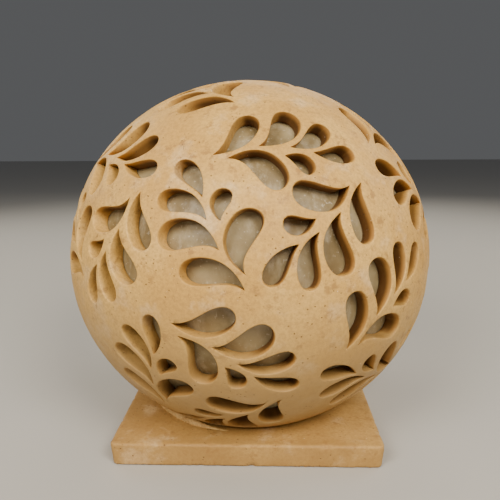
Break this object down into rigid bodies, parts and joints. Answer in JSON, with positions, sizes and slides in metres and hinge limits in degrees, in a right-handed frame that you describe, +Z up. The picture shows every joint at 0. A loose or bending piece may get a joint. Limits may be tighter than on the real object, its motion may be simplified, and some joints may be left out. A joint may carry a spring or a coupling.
{
  "type": "stone garden light ball",
  "caption": "Hollow stone globe pierced all round with sprays of drop-shaped openings over a cloudy lining, standing on a square stone slab",
  "frame": {"origin": "the middle of the slab's underside, on the surface it stands on", "axes": "+Z up; -Y is the side that faces the viewer of the picture; +X is that viewer's right"},
  "size_m": [0.2997, 0.2997, 0.2881],
  "materials": {
    "sandy_stone": "fine sandy stone, cream-yellow with ochre and pinkish-white mottling, tiny pits and a faint sheen",
    "cloudy_liner": "cloudy grey-beige sheet, streaked and a little glossy",
    "slab_stone": "tan sandy stone with pale scuffs and worn arrises"
  },
  "bodies": {
    "root": {"pierced_ball": "sandy_stone", "diffuser_liner": "cloudy_liner", "base_slab": "slab_stone"}
  },
  "joints": []
}
